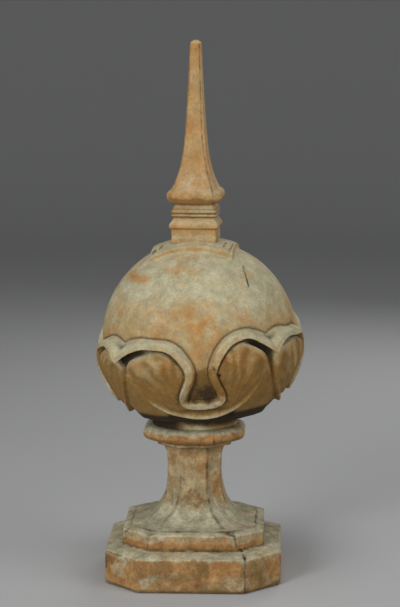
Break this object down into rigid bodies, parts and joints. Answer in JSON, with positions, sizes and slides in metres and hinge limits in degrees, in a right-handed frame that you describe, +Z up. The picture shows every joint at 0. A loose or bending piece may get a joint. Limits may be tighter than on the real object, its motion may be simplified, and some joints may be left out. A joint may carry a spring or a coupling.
{
  "type": "pinnacle",
  "caption": "Square-plinthed terracotta roof finial with a waisted stem, a ball cupped in leaves and a tapering square spire.",
  "frame": {"origin": "centre of the plinth's underside, where the pinnacle stands on a pier, gable or ridge", "axes": "+Z up along the pedestal and spire, -Y out of the front face of the plinth"},
  "size_m": [0.3796, 0.3797, 0.9746],
  "materials": {
    "pedestal_terracotta": "weathered unglazed terracotta with lime and lichen stains",
    "ball_terracotta": "weathered unglazed buff terracotta",
    "spire_terracotta": "weathered unglazed warm terracotta"
  },
  "bodies": {
    "root": {"pedestal": "pedestal_terracotta", "leafed_ball": "ball_terracotta", "spire": "spire_terracotta"}
  },
  "joints": []
}
